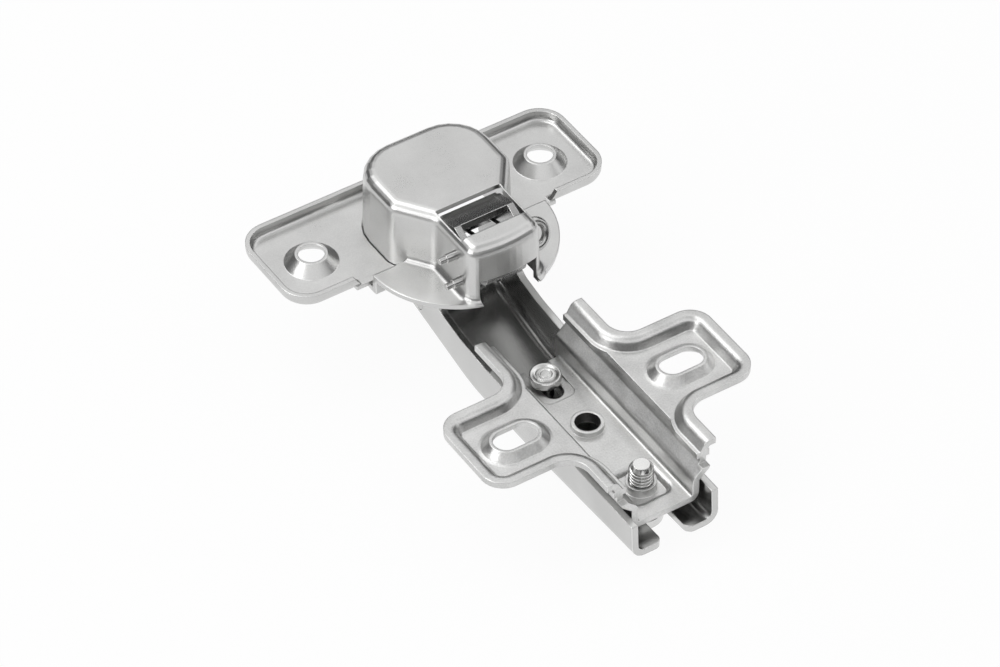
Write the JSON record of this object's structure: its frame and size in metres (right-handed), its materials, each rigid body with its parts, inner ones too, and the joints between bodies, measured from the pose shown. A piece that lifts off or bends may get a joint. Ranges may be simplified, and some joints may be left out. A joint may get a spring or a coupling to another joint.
{
  "type": "concealed cabinet hinge",
  "caption": "Concealed cabinet hinge: a round-bore cup with a wing plate, swung by two links on a channel arm that slides on a winged mounting plate.",
  "frame": {"origin": "on the mounting plate's contact plane, midway between its two slotted holes", "axes": "+X along the plate's and the cup's wings, +Y from the mounting plate to the cup, +Z towards the wood that the plate and the wing plate are screwed to"},
  "size_m": [0.062, 0.0846, 0.0305],
  "materials": {
    "plate_steel": "satin nickel plating",
    "arm_steel": "satin nickel plating",
    "cup_steel": "bright nickel plating",
    "wing_steel": "bright nickel plating",
    "pin_steel": "drawn wire",
    "link_steel": "satin nickel plating",
    "spring_steel": "oiled spring wire",
    "screw_steel": "nickel plating"
  },
  "bodies": {
    "plate": {"mounting_plate": "plate_steel"},
    "arm": {"hinge_arm": "arm_steel", "arm_pin_outer": "pin_steel", "arm_pin_inner": "pin_steel"},
    "outer_link": {"outer_link": "link_steel"},
    "inner_link": {"inner_link": "link_steel"},
    "cup": {"cup_shell": "cup_steel", "wing_plate": "wing_steel", "axle_staple": "pin_steel", "torsion_spring": "spring_steel"},
    "overlay_screw": {"overlay_screw": "screw_steel"},
    "fixing_screw": {"fixing_screw": "screw_steel"}
  },
  "joints": [
    {"name": "depth_slide", "type": "slide", "parent": "plate", "child": "arm", "axis": [0, 1, 0], "range_m": [-0.0025, 0.0025]},
    {"name": "outer_link_hinge", "type": "hinge", "parent": "arm", "child": "outer_link", "pos_m": [0, 0.0376, -0.0042], "axis": [1, 0, 0], "range_deg": [-60.1, 0]},
    {"name": "cup_hinge", "type": "hinge", "parent": "outer_link", "child": "cup", "pos_m": [0, 0.0317, 0.0099], "axis": [1, 0, 0], "range_deg": [-29.9, 0], "deforming": ["torsion_spring"]},
    {"name": "inner_link_hinge", "type": "hinge", "parent": "arm", "child": "inner_link", "pos_m": [0, 0.0412, -0.0079], "axis": [1, 0, 0], "range_deg": [-45.3, 0]},
    {"name": "overlay_screw_turn", "type": "hinge", "parent": "arm", "child": "overlay_screw", "pos_m": [0, 0.0157, -0.0145], "axis": [0, 0, 1], "continuous": true},
    {"name": "fixing_screw_turn", "type": "hinge", "parent": "plate", "child": "fixing_screw", "pos_m": [0, -0.0123, -0.0105], "axis": [0, 0, 1], "continuous": true}
  ],
  "couplings": [
    {"joint": "cup_hinge", "follows": "outer_link_hinge", "ratio": 0.496},
    {"joint": "inner_link_hinge", "follows": "outer_link_hinge", "ratio": 0.752}
  ]
}
